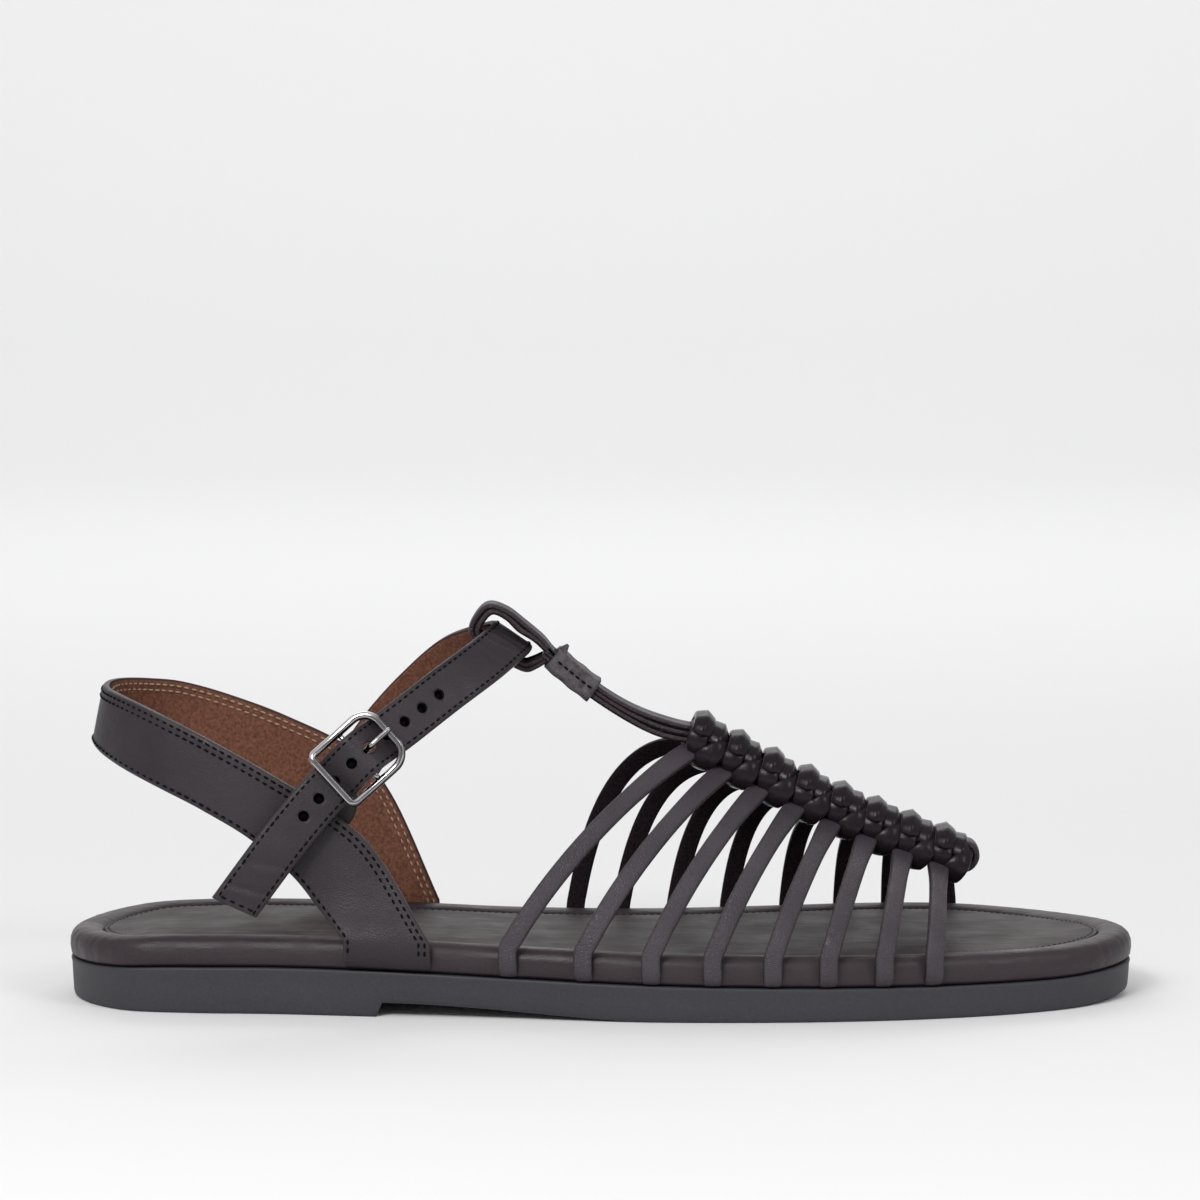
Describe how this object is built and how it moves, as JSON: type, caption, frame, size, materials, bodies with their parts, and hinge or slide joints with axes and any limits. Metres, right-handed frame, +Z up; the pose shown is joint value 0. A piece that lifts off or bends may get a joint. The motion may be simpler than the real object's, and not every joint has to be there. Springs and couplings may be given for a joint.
{
  "type": "huarache sandal",
  "caption": "Flat right sandal: knotted thong vamp, T-bar looped round a buckled ankle strap, wide heel strap, rolled footbed on a low rubber sole.",
  "frame": {"origin": "centre of the bounding box in plan, on the floor plane under the sole", "axes": "+X to the toe, +Y to the inner side of the foot, +Z up; floor at z = 0"},
  "size_m": [0.25, 0.0937, 0.0927],
  "materials": {
    "rubber": "matt",
    "footbed_leather": "satin",
    "sock_leather": "satin",
    "strap_leather": "satin, fine grain",
    "metal": "polished nickel"
  },
  "bodies": {
    "root": {"outsole": "rubber", "footbed": "footbed_leather", "sock": "sock_leather", "vamp": "strap_leather", "heel_strap": "strap_leather", "t_bar": "strap_leather", "t_bar_keeper": "strap_leather", "ankle_strap": "strap_leather", "buckle_frame": "metal", "buckle_prong": "metal", "buckle_tab": "strap_leather"}
  },
  "joints": []
}
